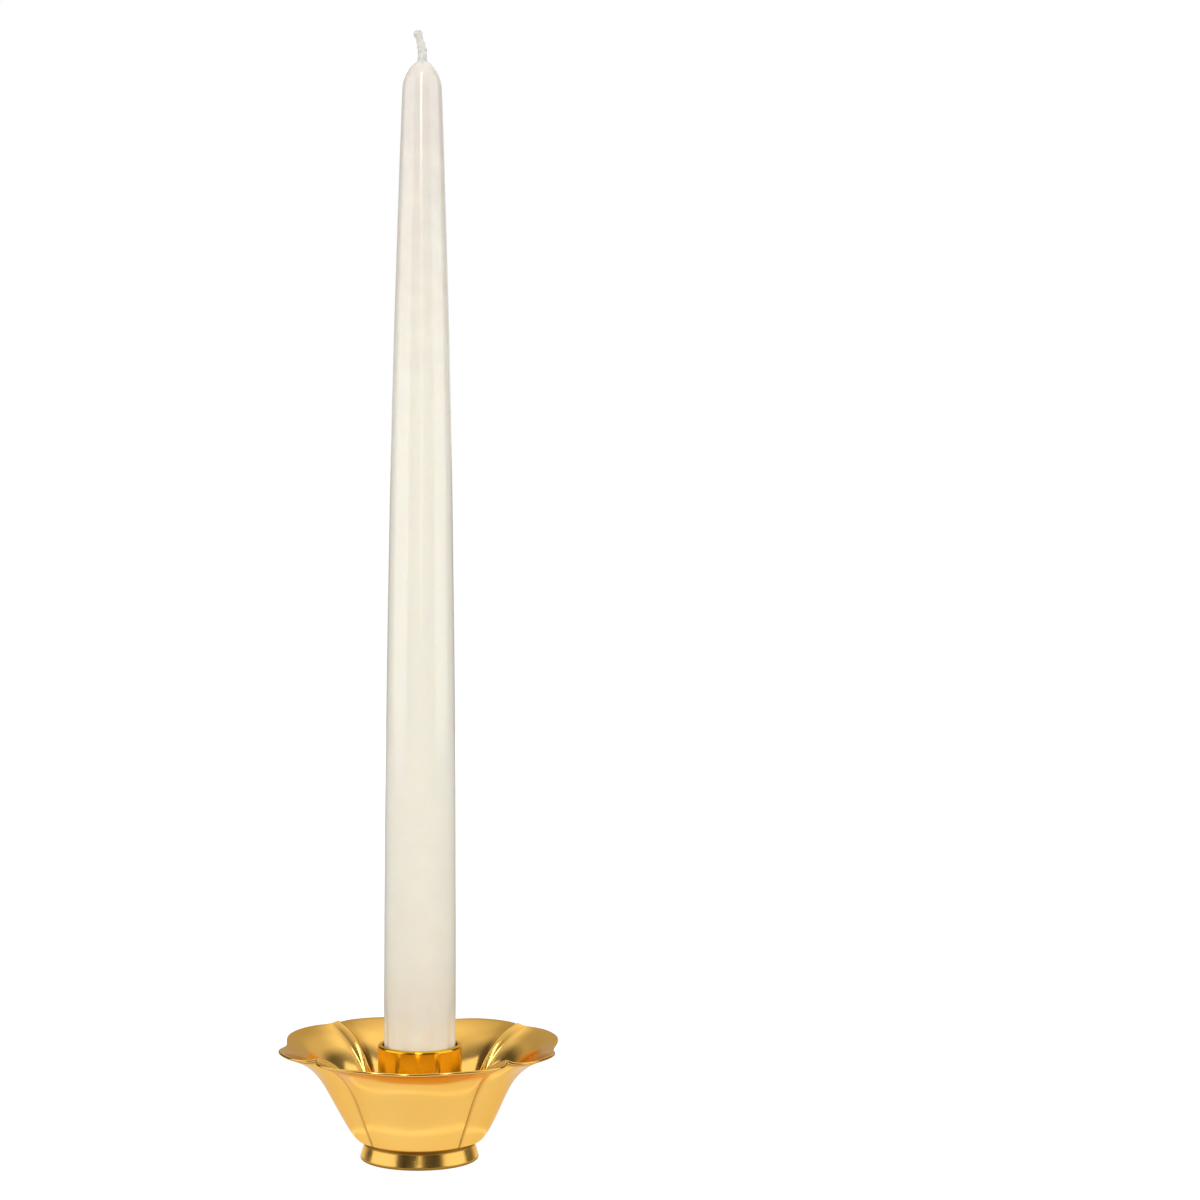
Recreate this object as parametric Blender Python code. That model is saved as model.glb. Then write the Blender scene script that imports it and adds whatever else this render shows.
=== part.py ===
"""Altar candlestick: a four-petal brass bowl on a turned foot, a socket screwed down through its
middle, and a tall dipped taper candle that stands in the socket.

Metres, +Z up. The origin is on the surface it stands on, under the middle of the foot. The petals
point along +X, -X, +Y and -Y, and the creases between them lie on the diagonals.
"""

import math

import bmesh
import bpy

MM = 0.001
GAP = 0.3 * MM  # left between pieces that touch

# Foot: a spun ring that carries a flat top plate
FOOT_BASE_RADIUS = 18.5 * MM
FOOT_NECK_RADIUS = 17.2 * MM
FOOT_HEIGHT = 5.9 * MM
FOOT_WALL = 1.5 * MM
FOOT_WALL_SPREAD = 0.3 * MM  # the wall is this much thicker at its lower edge
FOOT_PLATE = 1.2 * MM
FOOT_INNER_EDGE = 0.6 * MM
FOOT_LOWER_EDGE = 0.5 * MM
FOOT_BEAD = 0.8 * MM  # height of the widest line above the surface it stands on
FOOT_FLARE_POWER = 1.1
FOOT_FLARE_POINTS = 4

# Bowl: one sheet of brass, pressed into four petals
SHEET = 1.2 * MM
PETALS = 4
HALF_PETAL = math.pi / PETALS
FLOOR_HEIGHT = FOOT_HEIGHT + GAP  # underside of the bowl's flat floor
PETAL_WALL = {"floor": 19.5 * MM, "belly": 12.2 * MM, "belly_power": 0.72,
              "flare": 8.7 * MM, "flare_power": 7.0}
CREASE_WALL = {"floor": 18.8 * MM, "belly": 12.0 * MM, "belly_power": 0.88,
               "flare": 9.5 * MM, "flare_power": 6.5}
PETAL_ROUNDNESS = 2.2  # how a petal's arc falls off towards its creases
RIM_LOBE_RADIUS = 45.9 * MM  # the widest part of the rim, on each side of a petal's notch
RIM_NOTCH_DEPTH = 3.5 * MM
RIM_NOTCH_ANGLE = math.radians(13.5)
RIM_LOBE_ANGLE = math.radians(28.0)
RIM_CREASE_DROP = 4.0 * MM
RIM_CREASE_POWER = 3.0
RIM_LIFT_POWER = 3.0  # the lobes grow out of the wall mostly close to the rim
RIM_HEIGHT = 35.6 * MM
RIM_NOTCH_DIP = 1.0 * MM
RIM_CREASE_PEAK = 0.9 * MM
RIM_PEAK_ANGLE = math.radians(2.0)
BOWL_STEPS_PER_PETAL = 20
BOWL_WALL_ROWS = 13
BOWL_ROW_SPACING = 1.3  # above 1, the rows are closer together near the floor

# Socket: a turned cup with a thick floor, tapped from below
SOCKET_RADIUS = 13.1 * MM
SOCKET_BORE_RADIUS = 11.7 * MM
SOCKET_BOTTOM = FLOOR_HEIGHT + SHEET + GAP
SOCKET_RIM_HEIGHT = 36.0 * MM
SOCKET_FLOOR = 4.4 * MM
SOCKET_EDGE = 0.9 * MM  # rounding of the rim's outer edge
SOCKET_LOWER_EDGE = 0.4 * MM
SOCKET_TAPPED_DEPTH = 3.4 * MM

# Fixing: one low-head M4 screw and a plain washer
SCREW_RADIUS = 1.9 * MM
SCREW_HOLE_RADIUS = SCREW_RADIUS + GAP
SCREW_HEAD_RADIUS = 3.9 * MM
SCREW_HEAD_HEIGHT = 1.7 * MM
SCREW_HEAD_EDGE = 0.7 * MM
SCREW_END_CHAMFER = 0.4 * MM
SCREW_SLOT_WIDTH = 1.0 * MM
SCREW_SLOT_DEPTH = 0.8 * MM
WASHER_RADIUS = 5.0 * MM
WASHER_THICKNESS = 0.8 * MM
WASHER_TOP = FOOT_HEIGHT - FOOT_PLATE - GAP
SCREW_HEAD_TOP = WASHER_TOP - WASHER_THICKNESS - GAP

# Candle: a 7/8 inch taper with a fluted end that grips the socket
CANDLE_BOTTOM = SOCKET_BOTTOM + SOCKET_FLOOR + GAP
CANDLE_SHOULDER_HEIGHT = 332.0 * MM  # where the straight taper turns into the pointed top
CANDLE_TOP = 340.8 * MM
CANDLE_BASE_RADIUS = 11.2 * MM
CANDLE_SHOULDER_RADIUS = 6.1 * MM
CANDLE_TAPER_POWER = 2.4  # the candle stays thick low down and thins faster towards its top
CANDLE_END_CHAMFER = 1.0 * MM
CANDLE_STRAIGHT_RINGS = 7
DOME_POWER = 1.6  # above 1, the top is drawn in towards the wick
DOME_RINGS = 6
FLUTES = 8
FLUTE_DEPTH = 0.55 * MM
FLUTE_TOP = 52.0 * MM
FLUTE_FULL_HEIGHT = 38.0 * MM
CANDLE_STEPS = 48

# Wick: plaited cotton, through the whole candle, with a short stub that leans towards -X
WICK_RADIUS = 1.4 * MM
WICK_BORE_RADIUS = WICK_RADIUS + GAP
WICK_BOTTOM = CANDLE_BOTTOM + GAP
WICK_BEND_HEIGHT = 344.4 * MM
WICK_TIP_HEIGHT = 349.9 * MM
WICK_LEAN = 1.7 * MM
WICK_BEND_POWER = 1.15
WICK_BEND_POINTS = 6

ROUND_STEPS = 48
SHARP_ANGLE = math.radians(30.0)
MERGE_DISTANCE = 1e-6


def clear_scene():
    for item in list(bpy.data.objects):
        bpy.data.objects.remove(item)


def material(name, colour, roughness, metallic):
    made = bpy.data.materials.new(name)
    made.use_nodes = True
    shader = made.node_tree.nodes["Principled BSDF"]
    shader.inputs["Base Color"].default_value = (*colour, 1.0)
    shader.inputs["Roughness"].default_value = roughness
    shader.inputs["Metallic"].default_value = metallic
    made.diffuse_color = (*colour, 1.0)
    return made


def add_mesh(name, mesh_builder, finish, closed=True):
    """A new object from a bmesh, its round faces shaded smooth. A closed body's faces are turned to
    point out, and an open skin keeps the sides that it was made with."""
    bmesh.ops.remove_doubles(mesh_builder, verts=mesh_builder.verts, dist=MERGE_DISTANCE)
    if closed:
        bmesh.ops.recalc_face_normals(mesh_builder, faces=mesh_builder.faces)
    mesh = bpy.data.meshes.new(name)
    mesh_builder.to_mesh(mesh)
    mesh_builder.free()
    mesh.shade_smooth()
    mesh.set_sharp_from_angle(angle=SHARP_ANGLE)
    mesh.materials.append(finish)
    made = bpy.data.objects.new(name, mesh)
    bpy.context.scene.collection.objects.link(made)
    return made


def turned(name, outline, finish, closed, steps=ROUND_STEPS):
    """Spins an outline of (radius, height) points round the Z axis. A closed outline makes a ring,
    and an open one starts and ends on the axis."""
    shape = bmesh.new()
    points = [shape.verts.new((radius, 0.0, height)) for radius, height in outline]
    edges = [shape.edges.new(pair) for pair in zip(points, points[1:])]
    if closed:
        edges.append(shape.edges.new((points[-1], points[0])))
    bmesh.ops.spin(shape, geom=points + edges, cent=(0, 0, 0), axis=(0, 0, 1),
                   angle=math.tau, steps=steps, use_merge=True)
    return add_mesh(name, shape, finish)


def arc(centre_radius, centre_height, size, start_degrees, end_degrees, steps):
    """Points of a rounded edge in an outline, from one angle to the other."""
    points = []
    for step in range(steps + 1):
        angle = math.radians(start_degrees + (end_degrees - start_degrees) * step / steps)
        points.append((centre_radius + size * math.cos(angle), centre_height + size * math.sin(angle)))
    return points


def make_foot_ring(brass):
    """The outside flares down to a rounded edge, and the inside leaves a flat ring to stand on."""
    plate_underside = FOOT_HEIGHT - FOOT_PLATE
    flare = []
    for point in range(FOOT_FLARE_POINTS + 1):
        along = point / FOOT_FLARE_POINTS
        flare.append((FOOT_NECK_RADIUS + (FOOT_BASE_RADIUS - FOOT_NECK_RADIUS) * along ** FOOT_FLARE_POWER,
                      FOOT_HEIGHT + (FOOT_BEAD - FOOT_HEIGHT) * along))
    outline = [
        (SCREW_HOLE_RADIUS, FOOT_HEIGHT),
        *flare,
        *arc(FOOT_BASE_RADIUS - FOOT_LOWER_EDGE, FOOT_LOWER_EDGE, FOOT_LOWER_EDGE, 0, -90, 3),
        (FOOT_BASE_RADIUS - FOOT_WALL - FOOT_WALL_SPREAD, 0.0),
        (FOOT_NECK_RADIUS - FOOT_WALL, plate_underside - FOOT_INNER_EDGE),
        (FOOT_NECK_RADIUS - FOOT_WALL - FOOT_INNER_EDGE, plate_underside),
        (SCREW_HOLE_RADIUS, plate_underside),
    ]
    return turned("foot_ring", outline, brass, closed=True)


def wall_radius(wall, rise):
    """Radius of a wall line at a rise from 0 at the floor to 1 at the rim."""
    belly = wall["belly"] * rise ** wall["belly_power"]
    flare = wall["flare"] * rise ** wall["flare_power"]
    return wall["floor"] + belly + flare


def rim_radius(turn):
    """Radius of the rim at an angle from the middle of a petal: two lobes, with a notch between."""
    notch = RIM_NOTCH_DEPTH * math.exp(-((turn / RIM_NOTCH_ANGLE) ** 2))
    past_lobe = max(0.0, abs(turn) - RIM_LOBE_ANGLE) / (HALF_PETAL - RIM_LOBE_ANGLE)
    return RIM_LOBE_RADIUS - notch - RIM_CREASE_DROP * past_lobe ** RIM_CREASE_POWER


def rim_height(turn):
    """Height of the sheet's lower side at the rim: it dips at the notch and peaks at the crease."""
    dip = RIM_NOTCH_DIP * math.exp(-((turn / RIM_NOTCH_ANGLE) ** 2))
    peak = RIM_CREASE_PEAK * math.exp(-(HALF_PETAL - abs(turn)) / RIM_PEAK_ANGLE)
    return RIM_HEIGHT - dip + peak


def bowl_point(angle, rise):
    """A point of the bowl's outer side."""
    turn = (angle + HALF_PETAL) % (2 * HALF_PETAL) - HALF_PETAL
    fullness = 1.0 - abs(turn / HALF_PETAL) ** PETAL_ROUNDNESS

    def body(at):
        crease = wall_radius(CREASE_WALL, at)
        return crease + (wall_radius(PETAL_WALL, at) - crease) * fullness

    radius = body(rise) + (rim_radius(turn) - body(1.0)) * rise ** RIM_LIFT_POWER
    height = FLOOR_HEIGHT + (rim_height(turn) - FLOOR_HEIGHT) * rise
    return radius * math.cos(angle), radius * math.sin(angle), height


def make_petal_bowl(brass):
    """The outer side as an open skin, from the screw hole up to the rim, then given its thickness
    inwards."""
    shape = bmesh.new()
    steps = PETALS * BOWL_STEPS_PER_PETAL
    angles = [math.tau * step / steps for step in range(steps)]
    hole = [(SCREW_HOLE_RADIUS * math.cos(angle), SCREW_HOLE_RADIUS * math.sin(angle), FLOOR_HEIGHT)
            for angle in angles]
    rows = [[shape.verts.new(point) for point in hole]]
    for row in range(BOWL_WALL_ROWS + 1):
        rise = (row / BOWL_WALL_ROWS) ** BOWL_ROW_SPACING
        rows.append([shape.verts.new(bowl_point(angle, rise)) for angle in angles])
    for lower, upper in zip(rows, rows[1:]):
        for step in range(steps):
            after = (step + 1) % steps
            shape.faces.new((lower[step], lower[after], upper[after], upper[step]))
    bowl = add_mesh("petal_bowl", shape, brass, closed=False)
    thickness = bowl.modifiers.new("sheet thickness", "SOLIDIFY")
    thickness.thickness = SHEET
    thickness.offset = -1.0
    thickness.use_even_offset = True
    return bowl


def make_candle_socket(brass):
    inner_floor = SOCKET_BOTTOM + SOCKET_FLOOR
    tapped_top = SOCKET_BOTTOM + SOCKET_TAPPED_DEPTH
    outline = [
        (0.0, inner_floor),
        (SOCKET_BORE_RADIUS, inner_floor),
        (SOCKET_BORE_RADIUS, SOCKET_RIM_HEIGHT),
        *arc(SOCKET_RADIUS - SOCKET_EDGE, SOCKET_RIM_HEIGHT - SOCKET_EDGE, SOCKET_EDGE, 90, 0, 4),
        (SOCKET_RADIUS, SOCKET_BOTTOM + SOCKET_LOWER_EDGE),
        (SOCKET_RADIUS - SOCKET_LOWER_EDGE, SOCKET_BOTTOM),
        (SCREW_HOLE_RADIUS, SOCKET_BOTTOM),
        (SCREW_HOLE_RADIUS, tapped_top),
        (0.0, tapped_top),
    ]
    return turned("candle_socket", outline, brass, closed=False)


def make_fixing_screw(steel):
    """Head downwards, with a straight slot cut across it, and the shank up into the socket."""
    head_bottom = SCREW_HEAD_TOP - SCREW_HEAD_HEIGHT
    shank_end = SOCKET_BOTTOM + SOCKET_TAPPED_DEPTH - GAP
    outline = [
        (0.0, shank_end),
        (SCREW_RADIUS - SCREW_END_CHAMFER, shank_end),
        (SCREW_RADIUS, shank_end - SCREW_END_CHAMFER),
        (SCREW_RADIUS, SCREW_HEAD_TOP),
        (SCREW_HEAD_RADIUS, SCREW_HEAD_TOP),
        *arc(SCREW_HEAD_RADIUS - SCREW_HEAD_EDGE, head_bottom + SCREW_HEAD_EDGE, SCREW_HEAD_EDGE, 0, -90, 3),
        (0.0, head_bottom),
    ]
    screw = turned("fixing_screw", outline, steel, closed=False, steps=32)
    slot = bmesh.new()
    bmesh.ops.create_cube(slot, size=1.0)
    cut_size = (3 * SCREW_HEAD_RADIUS, SCREW_SLOT_WIDTH, 2 * SCREW_SLOT_DEPTH)
    bmesh.ops.scale(slot, vec=cut_size, verts=slot.verts)
    bmesh.ops.translate(slot, vec=(0, 0, head_bottom), verts=slot.verts)
    cutter = add_mesh("slot_cutter", slot, steel)
    cutter.hide_render = True
    cutter.display_type = "WIRE"
    cut = screw.modifiers.new("driver slot", "BOOLEAN")
    cut.operation = "DIFFERENCE"
    cut.object = cutter
    return screw


def make_screw_washer(steel):
    bottom = WASHER_TOP - WASHER_THICKNESS
    outline = [
        (SCREW_HOLE_RADIUS, WASHER_TOP),
        (WASHER_RADIUS, WASHER_TOP),
        (WASHER_RADIUS, bottom),
        (SCREW_HOLE_RADIUS, bottom),
    ]
    return turned("screw_washer", outline, steel, closed=True, steps=32)


def taper_radius(height):
    """Radius of the candle's straight part, without its flutes."""
    along = (height - CANDLE_BOTTOM) / (CANDLE_SHOULDER_HEIGHT - CANDLE_BOTTOM)
    return CANDLE_BASE_RADIUS - (CANDLE_BASE_RADIUS - CANDLE_SHOULDER_RADIUS) * along ** CANDLE_TAPER_POWER


def flute_cut(height, angle):
    """How far the flutes of the lower end cut in, fading out upwards."""
    fade = (FLUTE_TOP - height) / (FLUTE_TOP - FLUTE_FULL_HEIGHT)
    strength = min(1.0, max(0.0, fade))
    groove = (0.5 - 0.5 * math.cos(FLUTES * angle)) ** 2
    return FLUTE_DEPTH * strength * groove


def candle_rings():
    """(radius, height) of each ring of the candle's outside, from the bottom to the wick."""
    rings = [(CANDLE_BASE_RADIUS - CANDLE_END_CHAMFER, CANDLE_BOTTOM)]
    flute_middle = (FLUTE_FULL_HEIGHT + FLUTE_TOP) / 2
    heights = [CANDLE_BOTTOM + CANDLE_END_CHAMFER, FLUTE_FULL_HEIGHT, flute_middle, FLUTE_TOP]
    for ring in range(1, CANDLE_STRAIGHT_RINGS + 1):
        heights.append(FLUTE_TOP + (CANDLE_SHOULDER_HEIGHT - FLUTE_TOP) * ring / CANDLE_STRAIGHT_RINGS)
    rings += [(taper_radius(height), height) for height in heights]
    dome_height = CANDLE_TOP - CANDLE_SHOULDER_HEIGHT
    dome_reach = CANDLE_SHOULDER_RADIUS - WICK_BORE_RADIUS
    for ring in range(1, DOME_RINGS + 1):
        turn = math.pi / 2 * ring / DOME_RINGS
        radius = WICK_BORE_RADIUS + dome_reach * math.cos(turn) ** DOME_POWER
        rings.append((radius, CANDLE_SHOULDER_HEIGHT + dome_height * math.sin(turn)))
    return rings


def make_candle_wax(wax):
    """Rings up the outside, and back down through the hole that the wick runs in."""
    shape = bmesh.new()
    angles = [math.tau * step / CANDLE_STEPS for step in range(CANDLE_STEPS)]
    rows = []
    for radius, height in [*candle_rings(), (WICK_BORE_RADIUS, CANDLE_BOTTOM)]:
        on_bore = radius <= WICK_BORE_RADIUS
        ring = []
        for angle in angles:
            reach = radius if on_bore else radius - flute_cut(height, angle)
            ring.append(shape.verts.new((reach * math.cos(angle), reach * math.sin(angle), height)))
        rows.append(ring)
    for lower, upper in zip(rows, rows[1:] + rows[:1]):
        for step in range(CANDLE_STEPS):
            after = (step + 1) % CANDLE_STEPS
            shape.faces.new((lower[step], lower[after], upper[after], upper[step]))
    return add_mesh("candle_wax", shape, wax)


def make_wick(cotton):
    """Straight through the candle, then leaning over smoothly in its stub."""
    points = [(0.0, WICK_BOTTOM), (0.0, CANDLE_TOP / 2), (0.0, CANDLE_TOP)]
    for step in range(WICK_BEND_POINTS + 1):
        along = step / WICK_BEND_POINTS
        height = WICK_BEND_HEIGHT + (WICK_TIP_HEIGHT - WICK_BEND_HEIGHT) * along
        points.append((-WICK_LEAN * along ** WICK_BEND_POWER, height))
    curve = bpy.data.curves.new("wick", "CURVE")
    curve.dimensions = "3D"
    curve.bevel_depth = WICK_RADIUS
    curve.bevel_resolution = 2
    curve.use_fill_caps = True
    line = curve.splines.new("POLY")
    line.points.add(len(points) - 1)
    for point, (across, height) in zip(line.points, points):
        point.co = (across, 0.0, height, 1.0)
    curve.materials.append(cotton)
    made = bpy.data.objects.new("wick", curve)
    bpy.context.scene.collection.objects.link(made)
    return made


def main():
    clear_scene()
    brass = material("polished_brass", (0.83, 0.55, 0.17), 0.14, 1.0)
    steel = material("plated_steel", (0.62, 0.61, 0.58), 0.3, 1.0)
    wax = material("ivory_wax", (0.88, 0.82, 0.72), 0.38, 0.0)
    cotton = material("waxed_cotton", (0.80, 0.78, 0.68), 0.8, 0.0)
    make_foot_ring(brass)
    make_petal_bowl(brass)
    make_candle_socket(brass)
    make_screw_washer(steel)
    make_fixing_screw(steel)
    candle = bpy.data.objects.new("candle_lift", None)
    bpy.context.scene.collection.objects.link(candle)
    for piece in (make_candle_wax(wax), make_wick(cotton)):
        piece.parent = candle


main()
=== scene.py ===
"""The looks of the altar candlestick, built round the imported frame.

Metres, +Z up, in the frame's own place. Every piece is made here in mesh code as a finer version of
its node: the pressed brass bowl, the turned foot and socket, the dipped candle with its plaited wick,
and the screw and washer underneath. The sizes come from the nodes' boxes, and the bowl's shape
repeats the rule that its node was made with, with one fuller petal, one worn crease and a thinner rim.
"""

import math

import bmesh
import bpy
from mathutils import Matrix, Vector, noise


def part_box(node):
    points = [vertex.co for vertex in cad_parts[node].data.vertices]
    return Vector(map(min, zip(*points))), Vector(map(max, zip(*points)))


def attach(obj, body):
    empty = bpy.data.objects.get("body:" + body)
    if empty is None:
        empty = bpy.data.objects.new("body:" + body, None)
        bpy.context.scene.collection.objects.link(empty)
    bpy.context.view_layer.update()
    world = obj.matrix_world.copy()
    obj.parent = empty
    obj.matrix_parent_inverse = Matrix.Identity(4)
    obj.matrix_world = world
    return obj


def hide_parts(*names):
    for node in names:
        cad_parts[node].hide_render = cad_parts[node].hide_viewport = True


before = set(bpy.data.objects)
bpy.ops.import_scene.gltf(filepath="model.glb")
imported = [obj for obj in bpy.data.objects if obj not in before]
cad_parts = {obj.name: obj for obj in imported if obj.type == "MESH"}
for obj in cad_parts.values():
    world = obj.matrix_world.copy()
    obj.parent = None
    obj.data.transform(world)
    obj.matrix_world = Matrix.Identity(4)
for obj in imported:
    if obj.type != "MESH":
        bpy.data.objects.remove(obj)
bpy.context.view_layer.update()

MM = 0.001

# Sizes that the frame gives
FOOT_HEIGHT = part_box("foot_ring")[1].z
FOOT_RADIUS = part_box("foot_ring")[1].x
FLOOR_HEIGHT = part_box("petal_bowl")[0].z
SOCKET_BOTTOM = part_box("candle_socket")[0].z
SOCKET_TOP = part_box("candle_socket")[1].z
SOCKET_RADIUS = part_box("candle_socket")[1].x
CANDLE_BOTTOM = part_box("candle_wax")[0].z
CANDLE_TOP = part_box("candle_wax")[1].z
CANDLE_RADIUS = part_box("candle_wax")[1].x
WICK_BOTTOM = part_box("wick")[0].z
WICK_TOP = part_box("wick")[1].z
WASHER_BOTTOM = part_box("screw_washer")[0].z
WASHER_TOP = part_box("screw_washer")[1].z
WASHER_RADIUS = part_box("screw_washer")[1].x
SCREW_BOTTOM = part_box("fixing_screw")[0].z
SCREW_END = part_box("fixing_screw")[1].z
SCREW_HEAD_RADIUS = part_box("fixing_screw")[1].x


# ---------------------------------------------------------------- studio

WHITE = (1.0, 1.0, 1.0, 1.0)

CAMERA_DISTANCE = 1.0
CAMERA_HEIGHT = 0.2394
CAMERA_SIDE = math.radians(5.0)  # how far round to +X from straight in front
CAMERA_LENS = 96.7
CAMERA_PITCH = math.radians(3.66)
CAMERA_ROLL = math.radians(-0.344)
CAMERA_YAW = math.radians(3.164)  # turned away from the object, which stands left of the middle

# The floor. Each pair is where a change begins and ends, as distances from the foot's centre
FLOOR_SIZE = 30.0
FLOOR_PAINT = (0.14, 0.14, 0.14, 1.0)
FLOOR_GLOW = 0.92
FLOOR_FAR_GLOW = 0.95
FLOOR_FADE = (0.3, 1.2)
# Painted light, seen only in what the brass mirrors: a glowing pool round the object, brighter close round
# the foot and in a thin ring
MIRRORED_FOOT_GLOW = 0.08
MIRRORED_FOOT_FADE = (FOOT_RADIUS + 8 * MM, FOOT_RADIUS + 16 * MM)
MIRRORED_NEAR_GLOW = 0.86
MIRRORED_FAR_GLOW = 0.04
MIRRORED_FADE = (0.045, 0.2)
MIRRORED_RING_GLOW = 0.4  # painted light: a thin bright ring, standing in for what the polished foot throws on the floor
MIRRORED_RING_RADIUS = 30.5 * MM
MIRRORED_RING_WIDTH = 1.8 * MM  # to each side

# The room. Each pair is where a change begins and ends, along one axis of the direction looked in
ROOM_TINT = (1.0, 0.985, 0.96, 1.0)
ROOM_FRONT = 0.07
ROOM_TOP = 0.62
ROOM_TOP_FADE = (0.6, 0.9)
ROOM_BACK = 0.5
ROOM_BACK_SIDES = 0.7
ROOM_BACK_MIDDLE = -0.08
ROOM_BACK_SIDES_FADE = (0.22, 0.32)
BACKDROP_FADE = (-0.45, 0.4)
BACKDROP_EDGE_FADE = (0.42, 0.58)
GAP_SHARE = 0.1  # of the backdrop, left in the gaps on each side of it
ROOM_LEFT_SHARE = 0.78
ROOM_LEFT_FADE = (-0.36, -0.26)

LAMP_AIM = Vector((0.0, 0.0, 0.1))
# Lights for the wax and the wick, which the brass doesn't mirror: name, azimuth and radiance
WAX_FILLS = (
    ("wax_fill", 0, 3.1),
    ("wax_back_fill", 180, 2.4),
    ("wax_left_fill", -125, 1.5),
    ("wax_right_fill", 125, 1.3),
)


def make_camera():
    lens = bpy.data.cameras.new("camera")
    lens.lens = CAMERA_LENS
    camera = bpy.data.objects.new("camera", lens)
    camera.location = (CAMERA_DISTANCE * math.sin(CAMERA_SIDE),
                       -CAMERA_DISTANCE * math.cos(CAMERA_SIDE),
                       CAMERA_HEIGHT)
    camera.rotation_euler = (math.pi / 2 - CAMERA_PITCH, CAMERA_ROLL, CAMERA_SIDE - CAMERA_YAW)
    bpy.context.scene.collection.objects.link(camera)
    bpy.context.scene.camera = camera


def make_softbox(name, azimuth, distance, height, size, radiance, mirrored=True):
    """A rectangular light that faces the object. Azimuth is in degrees from the camera's side, towards
    +X, size is the light's width and height, and radiance is how bright it looks in a mirror."""
    width, tall = size
    lamp = bpy.data.lights.new(name, "AREA")
    lamp.shape = "RECTANGLE"
    lamp.size = width
    lamp.size_y = tall
    lamp.energy = radiance * math.pi * width * tall
    softbox = bpy.data.objects.new(name, lamp)
    turn = CAMERA_SIDE + math.radians(azimuth)
    softbox.location = (distance * math.sin(turn), -distance * math.cos(turn), height)
    towards = LAMP_AIM - softbox.location
    softbox.rotation_euler = towards.to_track_quat("-Z", "Y").to_euler()
    softbox.visible_camera = False
    softbox.visible_glossy = mirrored
    bpy.context.scene.collection.objects.link(softbox)


def room_strength(tree):
    """How bright the mirrored room is: dark behind the camera and in the gaps on each side of a light
    backdrop, and brightest overhead. The backdrop is lighter towards its own sides, and the room is
    dimmer to the left."""
    direction = add_node(tree, "ShaderNodeTexCoord").outputs["Generated"]
    split = add_node(tree, "ShaderNodeSeparateXYZ", {0: direction}).outputs
    behind = add_range(tree, split["Y"], BACKDROP_FADE)
    from_middle = add_distance(tree, split["X"], 0.0)
    edge = add_range(tree, from_middle, BACKDROP_EDGE_FADE, (1.0, GAP_SHARE))
    off_centre = add_distance(tree, split["X"], ROOM_BACK_MIDDLE)
    backdrop = add_range(tree, off_centre, ROOM_BACK_SIDES_FADE, (ROOM_BACK, ROOM_BACK_SIDES))
    overhead = add_range(tree, split["Z"], ROOM_TOP_FADE, (ROOM_FRONT, ROOM_TOP))
    walls = add_math(tree, "MULTIPLY", add_math(tree, "MULTIPLY", behind, edge), backdrop)
    dimmer_left = add_range(tree, split["X"], ROOM_LEFT_FADE, (ROOM_LEFT_SHARE, 1.0))
    return add_math(tree, "MULTIPLY", add_math(tree, "ADD", walls, overhead), dimmer_left)


def make_world():
    """White to the camera, and a grey room in what the object mirrors."""
    world = bpy.data.worlds.new("studio")
    world.use_nodes = True
    tree = world.node_tree
    room = add_node(tree, "ShaderNodeBackground", {"Color": ROOM_TINT, "Strength": room_strength(tree)})
    seen = add_node(tree, "ShaderNodeBackground", {"Color": WHITE})
    to_camera = add_node(tree, "ShaderNodeLightPath").outputs["Is Camera Ray"]
    choice = add_node(tree, "ShaderNodeMixShader", {0: to_camera, 1: room.outputs[0], 2: seen.outputs[0]})
    fill_inputs(tree, tree.nodes["World Output"], {"Surface": choice.outputs[0]})
    bpy.context.scene.world = world


def floor_material():
    """Dark paint under an even white glow, so that shadows stay as faint as on a lit sweep. In what the
    brass mirrors, the glow is painted light: a pool round the object, brightest close round the foot
    and in a thin ring, standing in for light that polished metal throws back on the floor, and dimmer
    further away."""
    finish, tree, shader = new_material("white_floor")
    place = object_place(tree)
    radius = add_node(tree, "ShaderNodeVectorMath", {0: place}, operation="LENGTH").outputs["Value"]
    near = add_range(tree, radius, MIRRORED_FOOT_FADE, (MIRRORED_FOOT_GLOW, 0.0))
    from_ring = add_distance(tree, radius, MIRRORED_RING_RADIUS)
    ring = add_range(tree, from_ring, (0.0, MIRRORED_RING_WIDTH), (MIRRORED_RING_GLOW, 0.0))
    wide = add_range(tree, radius, MIRRORED_FADE, (MIRRORED_NEAR_GLOW, MIRRORED_FAR_GLOW))
    mirrored = add_math(tree, "ADD", add_math(tree, "ADD", near, ring), wide)
    seen = add_range(tree, radius, FLOOR_FADE, (FLOOR_GLOW, FLOOR_FAR_GLOW))
    to_camera = add_node(tree, "ShaderNodeLightPath").outputs["Is Camera Ray"]
    glow = add_node(tree, "ShaderNodeMix", {0: to_camera, 2: mirrored, 3: seen}).outputs[0]
    fill_inputs(tree, shader, {
        "Base Color": FLOOR_PAINT,
        "Roughness": 0.9,
        "Specular IOR Level": 0.0,
        "Emission Color": WHITE,
        "Emission Strength": glow,
    })
    return finish


def make_floor():
    shape = bmesh.new()
    bmesh.ops.create_grid(shape, x_segments=1, y_segments=1, size=FLOOR_SIZE / 2)
    mesh = bpy.data.meshes.new("floor")
    shape.to_mesh(mesh)
    shape.free()
    mesh.materials.append(floor_material())
    floor = add_piece("floor", mesh)


def make_studio():
    make_world()
    make_floor()
    make_softbox("front_strip", azimuth=-5, distance=0.78, height=0.8, size=(0.16, 0.9), radiance=5.4)
    make_softbox("front_glint", azimuth=1, distance=1.2, height=0.3, size=(0.14, 0.4), radiance=1.1)
    make_softbox("left_softbox", azimuth=-79, distance=0.95, height=0.45, size=(1.25, 0.9), radiance=1.2)
    make_softbox("right_softbox", azimuth=76, distance=0.95, height=0.45, size=(1.05, 0.9), radiance=1.2)
    for name, azimuth, radiance in WAX_FILLS:
        make_softbox(name, azimuth, distance=1.1, height=0.5, size=(0.9, 0.9), radiance=radiance,
                     mirrored=False)
    bpy.context.scene.view_settings.view_transform = "Standard"


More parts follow.
